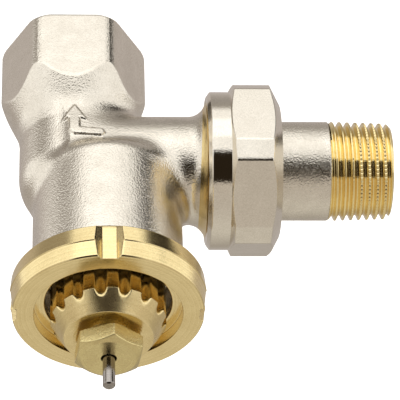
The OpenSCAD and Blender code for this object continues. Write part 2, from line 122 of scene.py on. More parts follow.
# its waterways
LINER_HOLE_R, LINER_TOP = 8.45, 10
MOUTH_HOLE_R, MOUTH_DEPTH = 10.3, 0.3
FEED_R, FEED_BELOW_OUTLET = 6.2, 5.9
SEAT_Z = OUTLET_Z - 3.4
SEAT_BORE_R, SEAT_RIM_R = 4, 5.2
SEAT_CHAMBER_R, CHAMBER_R = 6.7, 8.2
CHAMBER_STEP = BOSS_BOTTOM + BOSS_EDGE
CHAMBER_TOP = 46
BONNET_BORE_R, BONNET_BORE_START = 8.75, 39.2
HEAD_RECESS_R, HEAD_RECESS_START = 10.2, 47.2
OUTLET_BORE_R, OUTLET_BORE_START = 4.8, 11
SPIGOT_MOUTH_R, SPIGOT_MOUTH_DEPTH = 7.8, 1.5

# ------------------------------------------------------------------ sizes of the threads, in mm

PIPE_R, PIPE_PITCH, PIPE_DEPTH = 8.331, 1.337, 0.856
PIPE_TAPER = 32
TAIL_THREAD_LENGTH = 10.4
UNION_R, UNION_PITCH, UNION_DEPTH = 11.4555, 1.814, 1.1615


# ------------------------------------------------------------------ small maths

def soft_min(a, b, k):
    """The lower of two values, rounded over a width k where they meet."""
    h = np.clip(0.5 + 0.5 * (b - a) / k, 0, 1)
    return b * (1 - h) + a * h - k * h * (1 - h)


def soft_max(a, b, k):
    """The higher of two values, rounded over a width k where they meet."""
    return -soft_min(-a, -b, k)


def smooth_step(x, low, high):
    """0 below low, 1 above high and a smooth ramp between them."""
    t = np.clip((x - low) / (high - low), 0, 1)
    return t * t * (3 - 2 * t)


def rounded(corners, radius=0.12, closed=True, steps=3, support=0.1):
    """A profile with each corner turned into an arc. A corner is (along, radius) or
    (along, radius, its own rounding). Extra points beside each arc keep flat runs flat."""
    n = len(corners)
    points = []
    for i, corner in enumerate(corners):
        here = np.array(corner[:2], float)
        r = corner[2] if len(corner) > 2 else radius
        if not closed and i in (0, n - 1):
            points.append(here)
            continue
        before = np.array(corners[i - 1][:2], float) - here
        after = np.array(corners[(i + 1) % n][:2], float) - here
        lb, la = np.linalg.norm(before), np.linalg.norm(after)
        before, after = before / lb, after / la
        half = math.acos(float(np.clip(before @ after, -1, 1))) / 2
        if half > 1.5 or half < 0.05:
            points.append(here)
            continue
        cut = min(r / math.tan(half), 0.42 * lb, 0.42 * la)
        r = cut * math.tan(half)
        middle = before + after
        middle /= np.linalg.norm(middle)
        centre = here + middle * r / math.sin(half)
        first, last = here + before * cut, here + after * cut
        if 0.49 * lb > cut + support:
            points.append(here + before * (cut + support))
        a0 = first - centre
        a1 = last - centre
        for s in np.linspace(0, 1, steps + 1):
            v = a0 * (1 - s) + a1 * s
            points.append(centre + v / np.linalg.norm(v) * r)
        if 0.49 * la > cut + support:
            points.append(here + after * (cut + support))
    return np.array(points)


def spread(profile, longest, closed=True):
    """The same profile with long runs cut into shorter ones."""
    n = len(profile)
    out = []
    for i in range(n if closed else n - 1):
        a, b = profile[i], profile[(i + 1) % n]
        cuts = max(1, int(math.ceil(np.linalg.norm(b - a) / longest)))
        out.extend(a + (b - a) * s / cuts for s in range(cuts))
    if not closed:
        out.append(profile[-1])
    return np.array(out)


# ------------------------------------------------------------------ meshes

def make_piece(name, points, quads, body, material, replaces=(), merge=True):
    """A smooth-shaded piece from points in mm. Its faces are turned to look outwards."""
    points = np.asarray(points, float).reshape(-1, 3) * MM
    quads = np.asarray(quads, np.int64).reshape(-1, 4)
    a, b, c, d = (points[quads[:, i]] for i in range(4))
    volume = (np.cross(b - a, c - a) * a).sum() + (np.cross(c - a, d - a) * a).sum()
    if volume < 0:
        quads = quads[:, ::-1]
    mesh = bpy.data.meshes.new(name)
    mesh.vertices.add(len(points))
    mesh.vertices.foreach_set("co", points.astype(np.float32).ravel())
    mesh.loops.add(quads.size)
    mesh.loops.foreach_set("vertex_index", quads.astype(np.int32).ravel())
    mesh.polygons.add(len(quads))
    mesh.polygons.foreach_set("loop_start", np.arange(0, quads.size, 4, dtype=np.int32))
    mesh.update(calc_edges=True)
    mesh.validate()
    piece = bpy.data.objects.new(name, mesh)
    bpy.context.scene.collection.objects.link(piece)
    if merge:
        shape = bmesh.new()
        shape.from_mesh(mesh)
        bmesh.ops.remove_doubles(shape, verts=shape.verts, dist=2e-6)
        bmesh.ops.dissolve_degenerate(shape, dist=1e-7, edges=shape.edges)
        shape.to_mesh(mesh)
        shape.free()
    mesh.polygons.foreach_set("use_smooth", np.ones(len(mesh.polygons), bool))
    mesh.materials.append(material)
    mesh.update()
    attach(piece, body)
    if replaces:
        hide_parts(*replaces)


def ring_quads(rows, columns, closed_rows=True, wrap_shift=0):
    """Quads of a grid whose columns close round the axis, and whose rows close if asked.
    wrap_shift joins the last column to the first one that many rows on, as a helix needs."""
    i = np.arange(rows if closed_rows else rows - 1)[:, None]
    j = np.arange(columns)[None, :]
    wraps = j == columns - 1
    k = np.where(wraps, 0, j + 1)
    shift = np.where(wraps, wrap_shift, 0)
    if wrap_shift:
        keep = np.broadcast_to(i + 1 + shift < rows, (len(i), columns))
    else:
        keep = np.ones((len(i), columns), bool)
    quads = np.stack([
        (i % rows) * columns + j,
        ((i + 1) % rows) * columns + j,
        ((i + 1 + shift) % rows) * columns + k,
        ((i + shift) % rows) * columns + k,
    ], -1)
    return quads[keep]


def on_spindle(along, radius, angle):
    """Points round the spindle axis. The angle runs from +X towards +Y."""
    x = SPINDLE_X + radius * np.cos(angle)
    return np.stack([x, radius * np.sin(angle), along], -1)


def on_inlet(along, radius, angle):
    """Points round the inlet's axis. The angle runs from +X towards +Y."""
    return np.stack([radius * np.cos(angle), radius * np.sin(angle), along], -1)


def on_outlet(along, radius, angle):
    """Points round the outlet axis. The angle runs from +Y towards +Z."""
    return np.stack([along, radius * np.cos(angle), OUTLET_Z + radius * np.sin(angle)], -1)


def lathe(name, profile, place, body, material, angles=None, limit=None, closed=True,
          replaces=()):
    """A closed profile carried round an axis. limit(along, radius, angle) gives the radius."""
    if angles is None:
        angles = np.linspace(0, TAU, 192, endpoint=False)
    along, angle = np.meshgrid(profile[:, 0], angles, indexing="ij")
    radius = np.repeat(profile[:, 1][:, None], len(angles), 1)
    if limit is not None:
        radius = limit(along, radius, angle)
    points = place(along, radius, angle)
    quads = ring_quads(len(profile), len(angles), closed)
    make_piece(name, points, quads, body, material, replaces)


def facet_radius(angle, reach, corner_at, lean):
    """Distance from the axis to flat facets that cut a hexagon's corners, turned by lean."""
    turn = np.mod(angle - corner_at + TAU / 12, TAU / 6) - TAU / 12
    return reach * math.cos(lean) / np.cos(turn + lean)


def hex_radius(angle, across_flats, corner_at):
    """Distance from the axis to a hexagon's flats."""
    turn = np.mod(angle - corner_at, TAU / 6) - TAU / 12
    return across_flats / 2 / np.cos(turn)


def thread_height(phase):
    """Height of a rounded Whitworth-like profile, 0 at the root and 1 at the crest."""
    p = np.mod(phase, 1)
    rise = np.clip(p / 0.34, 0, 1)
    fall = np.clip((0.84 - p) / 0.34, 0, 1)
    h = np.minimum(rise, fall)
    return h + 0.06 * np.sin(TAU * (h - 0.5)) * (1 - np.abs(2 * h - 1))


# ------------------------------------------------------------------ materials

def new_material(name):
    """A material with its node tree and its main shader."""
    material = bpy.data.materials.new(name)
    material.use_nodes = True
    tree = material.node_tree
    shader = tree.nodes["Principled BSDF"]
    return material, tree, shader


def math_node(tree, operation, a, b=None):
    """A maths node over sockets or numbers."""
    made = tree.nodes.new("ShaderNodeMath")
    made.operation = operation
    for i, value in enumerate((a, b)):
        if value is None:
            continue
        if isinstance(value, (int, float)):
            made.inputs[i].default_value = value
        else:
            tree.links.new(value, made.inputs[i])
    return made.outputs[0]


def place_of(tree):
    """The point's own place in the row frame, in mm, as a vector and as x, y and z sockets."""
    coords = tree.nodes.new("ShaderNodeTexCoord")
    scale = tree.nodes.new("ShaderNodeVectorMath")
    scale.operation = "SCALE"
    scale.inputs["Scale"].default_value = 1 / MM
    tree.links.new(coords.outputs["Object"], scale.inputs[0])
    parts = tree.nodes.new("ShaderNodeSeparateXYZ")
    tree.links.new(scale.outputs[0], parts.inputs[0])
    return scale.outputs[0], parts.outputs[0], parts.outputs[1], parts.outputs[2]


def noise(tree, vector, scale, detail=2.0, rough=0.5, offset=0.0):
    """Noise with features of about 1/scale mm, from 0 to 1."""
    made = tree.nodes.new("ShaderNodeTexNoise")
    made.inputs["Scale"].default_value = scale
    made.inputs["Detail"].default_value = detail
    made.inputs["Roughness"].default_value = rough
    if offset:
        shift = tree.nodes.new("ShaderNodeVectorMath")
        shift.operation = "ADD"
        shift.inputs[1].default_value = (offset, 2 * offset, -offset)
        tree.links.new(vector, shift.inputs[0])
        vector = shift.outputs[0]
    tree.links.new(vector, made.inputs["Vector"])
    return made.outputs[0]


def line_noise(tree, value, scale, detail=3.0):
    """Noise along one coordinate, for turning lines."""
    made = tree.nodes.new("ShaderNodeTexNoise")
    made.noise_dimensions = "1D"
    made.inputs["Scale"].default_value = scale
    made.inputs["Detail"].default_value = detail
    tree.links.new(value, made.inputs["W"])
    return made.outputs[0]


def span(tree, value, low, high, out_low=0.0, out_high=1.0):
    """The value's run from low to high, turned into a run from out_low to out_high."""
    made = tree.nodes.new("ShaderNodeMapRange")
    made.inputs["From Min"].default_value = low
    made.inputs["From Max"].default_value = high
    made.inputs["To Min"].default_value = out_low
    made.inputs["To Max"].default_value = out_high
    tree.links.new(value, made.inputs["Value"])
    return made.outputs[0]


def blend_colour(tree, factor, a, b):
    """Colour a at a factor of 0 and colour b at 1."""
    made = tree.nodes.new("ShaderNodeMix")
    made.data_type = "RGBA"
    sockets = [s for s in made.inputs if s.type == "RGBA"]
    for socket, value in zip(sockets, (a, b)):
        if isinstance(value, tuple):
            socket.default_value = (*value, 1)
        else:
            tree.links.new(value, socket)
    tree.links.new(factor, made.inputs[0])
    return [s for s in made.outputs if s.type == "RGBA"][0]


def round_axis(tree, axis, x, y, z):
    """Radius from a piece's own axis plus the height along it: constant along turning lines."""
    if axis == "outlet":
        across = math_node(tree, "SUBTRACT", z, float(OUTLET_Z))
        u, v, along = y, across, x
    elif axis == "spindle":
        u, v, along = math_node(tree, "SUBTRACT", x, float(SPINDLE_X)), y, z
    else:
        u, v, along = x, y, z
    u_squared = math_node(tree, "MULTIPLY", u, u)
    squares = math_node(tree, "ADD", u_squared, math_node(tree, "MULTIPLY", v, v))
    return math_node(tree, "ADD", math_node(tree, "SQRT", squares), along)


def bump(tree, shader, height, distance_mm):
    """A bump whose full height stands for this distance."""
    made = tree.nodes.new("ShaderNodeBump")
    made.inputs["Strength"].default_value = 1.0
    made.inputs["Distance"].default_value = distance_mm * MM
    tree.links.new(height, made.inputs["Height"])
    tree.links.new(made.outputs[0], shader.inputs["Normal"])


FLAT_GRAIN = 0.3
POLISHED_GLOSS = 0.45
GRAIN_DEPTH = 0.1


def off_flats(tree, x, y, z, apothem, top):
    """1, but FLAT_GRAIN on the flats of a hexagon round the inlet's axis, up to a height."""
    reach = None
    for degrees in (30, 90, 150):
        along_x = math_node(tree, "MULTIPLY", x, math.cos(math.radians(degrees)))
        along_y = math_node(tree, "MULTIPLY", y, math.sin(math.radians(degrees)))
        side = math_node(tree, "ABSOLUTE", math_node(tree, "ADD", along_x, along_y))
        reach = side if reach is None else math_node(tree, "MAXIMUM", reach, side)
    on_flat = math_node(tree, "MULTIPLY", span(tree, reach, apothem - 0.12, apothem - 0.04),
                        span(tree, z, top, top - 0.2))
    return span(tree, on_flat, 0, 1, 1, FLAT_GRAIN)


def metal(name, colour, dark, rough, grain, grain_scale, lines=0.0, axis="spindle", line_scale=6.0,
          stain=0.25, pits=0.0, brushed=0.0, flats=None, polished=None):
    """A metal with fine grain, turning lines, stains and uneven gloss, all in mm. flats is an
    (apothem, height) of the inlet hexagon, where the grain is fainter. polished is a place along
    the axis, and the metal is glossier before it."""
    material, tree, shader = new_material(name)
    where, x, y, z = place_of(tree)
    shader.inputs["Metallic"].default_value = 1.0
    if brushed:
        shader.inputs["Anisotropic"].default_value = brushed
        around = tree.nodes.new("ShaderNodeTangent")
        around.direction_type = "RADIAL"
        around.axis = "X" if axis == "outlet" else "Z"
        tree.links.new(around.outputs[0], shader.inputs["Tangent"])
    wide = noise(tree, where, 0.35, 4, 0.6)
    fine = noise(tree, where, grain_scale, 1, 0.4, offset=7.3)
    stains = span(tree, wide, 0.35, 0.7, 0, stain)
    specks = span(tree, fine, 0.3, 0.75, 0, 0.25)
    shade = math_node(tree, "ADD", stains, specks)
    height = math_node(tree, "MULTIPLY", fine, grain)
    along = x if axis == "outlet" else z
    gloss = span(tree, wide, 0.3, 0.7, rough[0], rough[1])
    if polished:
        duller = span(tree, along, polished, polished + 0.3, POLISHED_GLOSS, 1)
        gloss = math_node(tree, "MULTIPLY", gloss, duller)
    if lines:
        turned = round_axis(tree, axis, x, y, z)
        tool = line_noise(tree, turned, line_scale)
        height = math_node(tree, "ADD", height, math_node(tree, "MULTIPLY", tool, lines))
        shade = math_node(tree, "ADD", shade, span(tree, tool, 0.3, 0.7, 0, 0.22))
    if pits:
        cells = noise(tree, where, grain_scale * 0.6, 1, 0.5, offset=3.1)
        height = math_node(tree, "ADD", height, math_node(tree, "MULTIPLY", cells, pits))
    if flats:
        height = math_node(tree, "MULTIPLY", height, off_flats(tree, x, y, z, *flats))
    tree.links.new(blend_colour(tree, shade, colour, dark), shader.inputs["Base Color"])
    tree.links.new(gloss, shader.inputs["Roughness"])
    bump(tree, shader, height, GRAIN_DEPTH)
    return material


def plain(name, colour, dark, rough, grain):
    """Rubber or plastic with a moulded grain."""
    material, tree, shader = new_material(name)
    where = place_of(tree)[0]
    wide = noise(tree, where, 0.8, 3)
    fine = noise(tree, where, 4.0, 3, 0.6, offset=2.0)
    tree.links.new(blend_colour(tree, wide, colour, dark), shader.inputs["Base Color"])
    gloss = span(tree, fine, 0.3, 0.7, rough - 0.06, rough + 0.06)
    tree.links.new(gloss, shader.inputs["Roughness"])
    bump(tree, shader, fine, grain)
    return material


NICKEL = (0.83, 0.775, 0.68)
NICKEL_DARK = (0.46, 0.41, 0.33)
BRASS = (0.94, 0.78, 0.425)
BRASS_DARK = (0.60, 0.44, 0.18)

nickel_cast = metal("nickel_cast", NICKEL, NICKEL_DARK, (0.20, 0.27), grain=0.55, grain_scale=3.8, pits=0.2,
                    stain=0.2, flats=(INLET_AF / 2, 15.0))
nickel_turned = metal("nickel_turned", NICKEL, NICKEL_DARK, (0.13, 0.19), grain=0.12, grain_scale=5.0,
                      axis="outlet", stain=0.12, polished=NUT_START + 3.7)
nickel_tail = metal("nickel_tail", NICKEL, NICKEL_DARK, (0.24, 0.31), grain=0.6, grain_scale=4.0, pits=0.3,
                    stain=0.2)
brass_spindle = metal("brass_turned", BRASS, BRASS_DARK, (0.20, 0.30), grain=0.05, grain_scale=4.0,
                      lines=0.10, axis="spindle", line_scale=4.0, stain=0.18, brushed=0.75)
brass_collar = metal("brass_collar", BRASS, BRASS_DARK, (0.13, 0.20), grain=0.05, grain_scale=4.0,
                     lines=0.08, axis="spindle", line_scale=4.0, stain=0.15, brushed=0.6)
brass_ring = metal("brass_ring", (0.82, 0.66, 0.34), (0.50, 0.36, 0.15), (0.16, 0.24), grain=0.1,
                   grain_scale=4.0, lines=0.03, axis="outlet", line_scale=6.0, stain=0.2)
brass_thread = metal("brass_thread", (0.99, 0.83, 0.45), (0.74, 0.55, 0.23), (0.10, 0.16), grain=0.08,
                     grain_scale=4.0, lines=0.03, axis="outlet", line_scale=6.0, stain=0.15)
brass_inlet = metal("brass_inlet", BRASS, BRASS_DARK, (0.16, 0.26), grain=0.06, grain_scale=4.0,
                    lines=0.05, axis="inlet", line_scale=6.0, stain=0.2)
brass_gland = metal("brass_gland", (0.84, 0.72, 0.36), (0.48, 0.35, 0.15), (0.22, 0.32), grain=0.15,
                    grain_scale=3.0, lines=0.03, axis="spindle", line_scale=6.0, stain=0.25)
steel_pin = metal("steel_pin", (0.40, 0.37, 0.34), (0.22, 0.20, 0.19), (0.12, 0.18), grain=0.03,
                  grain_scale=5.0, lines=0.05, axis="spindle", line_scale=9.0, stain=0.15)
steel_spring = metal("steel_spring", (0.42, 0.42, 0.43), (0.2, 0.2, 0.2), (0.2, 0.3), grain=0.1,
                     grain_scale=6.0, stain=0.3)
rubber = plain("rubber", (0.018, 0.018, 0.019), (0.03, 0.03, 0.032), 0.6, 0.02)
ptfe = plain("ptfe", (0.82, 0.80, 0.74), (0.72, 0.70, 0.64), 0.4, 0.01)


# ------------------------------------------------------------------ the forging

def arrow_distance(x, z):
    """Signed distance, in mm, to the outline of the bent flow arrow on the wall that faces +Y."""
    tip = OUTLET_Z - 6.6
    barb, notch = tip + 3.5, tip + 3.1
    low, high = OUTLET_Z - 1.2, OUTLET_Z + 0.3
    outline = np.array([
        (0.2, tip), (2.2, barb), (1.05, notch), (1.05, low), (4.7, low), (5.2, (low + high) / 2),
        (4.7, high), (0.1, high), (-0.7, low + 0.7), (-0.7, notch), (-1.9, barb),
    ])
    best = np.full(x.shape, np.inf)
    inside = np.zeros(x.shape, bool)
    for (ax, az), (bx, bz) in zip(outline, np.roll(outline, -1, 0)):
        ex, ez = bx - ax, bz - az
        t = np.clip(((x - ax) * ex + (z - az) * ez) / (ex * ex + ez * ez), 0, 1)
        best = np.minimum(best, np.hypot(x - ax - t * ex, z - az - t * ez))
        crosses = ((az > z) != (bz > z)) & (x < ax + (z - az) / (ez if ez else 1e-9) * ex)
        inside ^= crosses
    return np.where(inside, -best, best)


def flare_radius(x):
    """The neck's radius as it flares up to the union thread."""
    rim_r = UNION_R - 0.25
    flare_centre = FLARE_END - math.sqrt(FLARE_R**2 - (NECK_R + FLARE_R - rim_r) ** 2)
    dx = np.clip(x - flare_centre, 0, FLARE_R)
    return NECK_R + FLARE_R - np.sqrt(np.maximum(FLARE_R**2 - dx**2, 0))


def forging_field(x, y, z):
    """Distance to the forging's surface in mm, negative inside the metal."""
    r_inlet = np.hypot(x, y)
    r_boss = np.hypot(x - SPINDLE_X, y)
    r_neck = np.hypot(y, z - OUTLET_Z)

    # inlet: a hexagon turned down at its corners, then a cone and a round body with a domed top
    angle = np.arctan2(y, x)
    turn = np.mod(angle, TAU / 6) - TAU / 12
    flats = r_inlet * np.cos(turn) - INLET_AF / 2
    slope = (INLET_TURNED_R - INLET_BODY_R) / (INLET_CONE_TOP - INLET_HEX_H)
    cone = (r_inlet - (INLET_TURNED_R - slope * (z - INLET_HEX_H))) / math.hypot(1, slope)
    inlet = soft_max(flats, r_inlet - INLET_TURNED_R, 0.55)
    inlet = soft_max(inlet, cone, 0.08)
    chamfer = (r_inlet - INLET_TURNED_R + MOUTH_CHAMFER - MOUTH_STEEPNESS * z) * 0.6
    inlet = soft_max(inlet, chamfer, 0.1)
    inlet = soft_max(inlet, z - INLET_CONE_TOP - 1, 0.5)
    inlet = soft_max(inlet, -z, 0.15)
    dome = np.hypot(r_inlet, np.maximum(z - DOME_Z, 0)) - INLET_BODY_R
    trunk = np.maximum(dome, TRUNK_START - z)
    shape = soft_min(inlet, trunk, 1.0)

    # boss: a cylinder with a rounded lower edge
    out = np.maximum(r_boss - (BOSS_R - BOSS_EDGE), 0)
    down = np.maximum(BOSS_BOTTOM + BOSS_EDGE - z, 0)
    inner = np.minimum(np.maximum(r_boss - (BOSS_R - BOSS_EDGE), BOSS_BOTTOM + BOSS_EDGE - z), 0)
    boss = np.hypot(out, down) + inner - BOSS_EDGE
    boss = soft_max(boss, z - COLLAR_BACK - 0.02, 0.1)
    shape = soft_min(shape, boss, 1.2)

    # neck: a cylinder that flares up to the union thread
    flare = r_neck - flare_radius(x)
    neck = soft_max(np.maximum(flare * 0.8, -x), x - FLARE_END + 0.15, 0.1)
    shape = soft_min(shape, neck, 2.6)

    # flow arrow, raised
    near = (y > 5) & (np.abs(x - 1.6) < 5) & (np.abs(z - OUTLET_Z + 3) < 5)
    if near.any():
        mark = np.full(x.shape, 9.0)
        mark[near] = arrow_distance(x[near], z[near])
        raised = soft_max(shape - ARROW_RELIEF, mark, ARROW_EDGE)
        shape = np.where(near, soft_min(shape, raised, ARROW_EDGE * 0.8), shape)

    # spigot under the collar
    spigot_top = z - COLLAR_FACE + SPIGOT_BELOW_FACE
    spigot = np.maximum(r_boss - SPIGOT_R, np.maximum(spigot_top, SPIGOT_START - z))
    shape = np.minimum(shape, spigot)

    # waterways
    seat_run = np.maximum(z - SEAT_Z - 0.1, SEAT_Z - 4 - z)
    low_run = np.maximum(SEAT_Z - 1 - z, z - CHAMBER_STEP)
    high_run = np.maximum(CHAMBER_STEP - z, z - CHAMBER_TOP)
    chamber = np.minimum(np.maximum(r_boss - SEAT_CHAMBER_R, low_run),
                         np.maximum(r_boss - CHAMBER_R, high_run))
    seat_rim = np.maximum(r_boss - SEAT_RIM_R, z - SEAT_Z)
    cuts = np.minimum.reduce([
        np.maximum(r_inlet - LINER_HOLE_R, z - LINER_TOP),
        np.maximum(r_inlet - MOUTH_HOLE_R, z - MOUTH_DEPTH),
        np.maximum(r_inlet - FEED_R, z - OUTLET_Z + FEED_BELOW_OUTLET),
        np.maximum(r_boss - SEAT_BORE_R, seat_run),
        np.maximum(chamber, -seat_rim),
        np.maximum(r_boss - BONNET_BORE_R, BONNET_BORE_START - z),
        np.maximum(r_boss - HEAD_RECESS_R, HEAD_RECESS_START - z),
        np.maximum(r_neck - OUTLET_BORE_R, OUTLET_BORE_START - x),
        np.maximum(r_neck - SPIGOT_MOUTH_R, FLARE_END - SPIGOT_MOUTH_DEPTH - x),
    ])
    return soft_max(shape, -cuts, 0.12)


def field_surface(field, low, high, step):
    """Surface nets over a field, with each point then drawn on to the zero surface."""
    low, high = np.array(low, float), np.array(high, float)
    count = np.ceil((high - low) / step).astype(int) + 1
    axes = [low[i] + step * np.arange(count[i]) for i in range(3)]
    values = np.empty(count, np.float32)
    slab = 12  # layers worked out at once, to save memory
    for k in range(0, count[0], slab):
        x, y, z = np.meshgrid(axes[0][k:k + slab], axes[1], axes[2], indexing="ij")
        values[k:k + slab] = field(x, y, z)
    inside = values < 0
    cells = tuple(c - 1 for c in count)
    corners = [(i, j, k) for i in (0, 1) for j in (0, 1) for k in (0, 1)]
    total = np.zeros(cells, np.int8)
    for i, j, k in corners:
        total += inside[i:cells[0] + i, j:cells[1] + j, k:cells[2] + k]
    active = (total > 0) & (total < 8)
    where = np.argwhere(active)
    number = np.full(cells, -1, np.int64)
    number[active] = np.arange(len(where))
    sums = np.zeros((len(where), 3))
    hits = np.zeros(len(where))
    for a in corners:
        for axis in range(3):
            if a[axis]:
                continue
            b = list(a)
            b[axis] = 1
            va = values[tuple((where + a).T)]
            vb = values[tuple((where + b).T)]
            cross = (va < 0) != (vb < 0)
            t = np.where(cross, va / np.where(cross, va - vb, 1), 0)
            p = np.repeat(np.array(a, float)[None], len(where), 0)
            p[:, axis] += t
            sums += np.where(cross[:, None], p, 0)
            hits += cross
    points = low + step * (where + sums / hits[:, None])
    quads = []
    for axis in range(3):
        u, v = (axis + 1) % 3, (axis + 2) % 3
        first = [slice(None)] * 3
        second = [slice(None)] * 3
        first[axis] = slice(0, -1)
        second[axis] = slice(1, None)
        flips = inside[tuple(first)] != inside[tuple(second)]
        edge = np.argwhere(flips)
        ok = (edge[:, u] > 0) & (edge[:, v] > 0) & (edge[:, u] < cells[u]) & (edge[:, v] < cells[v])
        edge = edge[ok]
        starts = inside[tuple(edge.T)]
        around = []
        for du, dv in ((1, 1), (0, 1), (0, 0), (1, 0)):
            c = edge.copy()
            c[:, u] -= du
            c[:, v] -= dv
            around.append(number[tuple(c.T)])
        q = np.stack(around, -1)
        q[~starts] = q[~starts][:, ::-1]
        quads.append(q)
    quads = np.concatenate(quads)
    h = 0.02
    for _ in range(3):
        x, y, z = points.T
        value = field(x, y, z)
        gradient = np.stack([
            field(x + h, y, z) - field(x - h, y, z),
            field(x, y + h, z) - field(x, y - h, z),
            field(x, y, z + h) - field(x, y, z - h),
        ], -1) / (2 * h)
        size = (gradient**2).sum(-1)
        move = -(value / np.maximum(size, 0.2))[:, None] * gradient
        length = np.linalg.norm(move, axis=1, keepdims=True)
        points = points + move * np.minimum(1, 0.5 * step / np.maximum(length, 1e-9))
    return points, quads


def forging():
    """The nickel-plated forging, from the mouth of the inlet to the spigot under the collar."""
    step = 0.25
    reach = 12.9
    points, quads = field_surface(
        forging_field, (-reach, -reach, -0.6), (FLARE_END + 0.5, reach, COLLAR_FACE - 2.8), step)
    make_piece("forged_body", points, quads, "body", nickel_cast, ("valve_body",), False)


def inlet_liner():
    """The machined inlet: a ring face, a countersink and the female thread, as a closed sleeve."""
    rows_per_pitch, columns = 12, 180
    minor = PIPE_R - PIPE_DEPTH
    top, mouth = 10.0, 0.45
    turns = int((top - mouth) / PIPE_PITCH) + 2
    rows = turns * rows_per_pitch + 1
    u = (np.arange(rows) / rows_per_pitch - 1)[:, None]
    angle = np.linspace(0, TAU, columns, endpoint=False)[None, :]
    along = mouth + PIPE_PITCH * (u + angle / TAU)
    radius = PIPE_R - PIPE_DEPTH * thread_height(u + 0 * angle)
    fade = smooth_step(along, top - 1.5, top)
    radius = radius * (1 - fade) + minor * fade
    radius = np.maximum(radius, minor + np.maximum(mouth + 0.5 - along, 0))
    along = np.clip(along, 0.05, top)
    thread = on_inlet(along, radius, angle + 0 * u)
    quads = [ring_quads(rows, columns, False, rows_per_pitch)]
    edge = rounded([
        (0.05, minor + 0.9), (0, 8.6, 0.04), (0, 10.2), (0.5, 10.2), (0.5, 8.7), (top, 8.7), (top, minor),
    ], 0.1, closed=False)
    along2, angle2 = np.meshgrid(edge[:, 0], angle[0], indexing="ij")
    outer = on_inlet(along2, np.repeat(edge[:, 1][:, None], columns, 1), angle2)
    quads.append(ring_quads(len(edge), columns, False) + thread.shape[0] * columns)
    points = np.concatenate([thread.reshape(-1, 3), outer.reshape(-1, 3)])
    make_piece("inlet_thread", points, np.concatenate(quads), "body", brass_inlet)


def union_spigot():
    """The body's turned union end: bare brass with a helical male thread."""
    mouth_r, nose = 8.77, 2.95
    start, rim_r = FLARE_END - 1, UNION_R - 0.2
    profile = rounded([
        (start, 9), (start, rim_r, 0.01), (FLARE_END - 0.02, rim_r, 0.02),
        (FLARE_END + 0.3, UNION_R - UNION_DEPTH), (SPIGOT_END, UNION_R - UNION_DEPTH, 0.3),
        (SPIGOT_END, mouth_r), (SPIGOT_END - nose, mouth_r), (SPIGOT_END - nose, 6.1),
        (SPIGOT_END - nose - 2.2, 4.9), (start, 4.9),
    ])
    profile = spread(profile, 0.16)

    def helix(along, radius, angle):
        """The thread's ridges, which sink to 10.6 mm in the last half millimetre."""
        crest = UNION_R * smooth_step(SPIGOT_END - along, 0, 0.5)
        crest = crest + 10.6 * smooth_step(along, SPIGOT_END - 0.5, SPIGOT_END)
        on_thread = (radius > 10.2) & (along > FLARE_END + 0.2) & (along < SPIGOT_END - 0.02)
        height = thread_height(along / UNION_PITCH - angle / TAU)
        return np.where(on_thread, radius + np.maximum(crest - radius, 0) * height, radius)

    def machined(along, radius, angle):
        """The forging's skin is cut back on a plane that leans, so the brass ring widens upwards."""
        skin = (along < FLARE_END) & (radius > 8.5)
        width = 0.78 + 0.45 * np.sin(angle)
        along = np.where(skin, FLARE_END - (FLARE_END - along) * width, along)
        swell = flare_radius(along) + 0.04  # stands this much proud of the plated skin
        radius = np.where(skin & (radius > 9.5), np.minimum(radius, swell), radius)
        return on_outlet(along, radius, angle)

    lathe("union_spigot", profile, machined, "body", brass_ring, limit=helix)


# ------------------------------------------------------------------ the head

def notch_radius(angle):
    """How far out the collar reaches in its four notches: a flat floor between two slanted sides."""
    turn = np.mod(angle + TAU / 8, TAU / 4) - TAU / 8
    floor_r, half_w, slant = COLLAR_R - 1.3, 1.1, 0.86
    t = np.abs(turn)
    flat = floor_r / np.cos(t)
    fall = np.cos(t) - slant * np.sin(t)
    side = np.where(fall > 0.1, (floor_r - slant * half_w) / np.maximum(fall, 0.1), 99.0)
    return soft_max(flat, side, 0.06)


def collar():
    """The notched ring that the head's nut grips."""
    face, back = COLLAR_FACE, COLLAR_BACK
    profile = rounded([
        (back, SPIGOT_R, 0.02), (back, BOSS_R, 0.05), (face - 5.8, COLLAR_R - 0.3, 0.2),
        (face - 2.95, COLLAR_R - 0.02, 0.06), (face - 2.8, COLLAR_R - 0.14, 0.06),
        (face - 0.22, COLLAR_R - 0.5, 0.1), (face, COLLAR_R - 0.68, 0.08), (face, 11.95, 0.1),
        (face - 2.15, 11.9, 0.1), (face - 2.15, 10.2, 0.15), (face - 3.3, 10.2, 0.05),
        (face - 3.3, SPIGOT_R, 0.02),
    ])
    profile = spread(profile, 0.6)
    half = math.asin(2.7 / COLLAR_R) + 0.02  # half of the angle that a notch and its lips take
    near = np.linspace(-half, half, 61)
    between = np.linspace(half, TAU / 4 - half, 34)[1:-1]
    angles = np.concatenate([k * TAU / 4 + np.concatenate([near, between]) for k in range(4)])

    def limit(along, radius, angle):
        outer = radius > 12.6
        return np.where(outer, soft_min(radius, notch_radius(angle), 0.1), radius)

    lathe("notched_collar", profile, on_spindle, "body", brass_collar, angles, limit,
          replaces=("head_collar",))


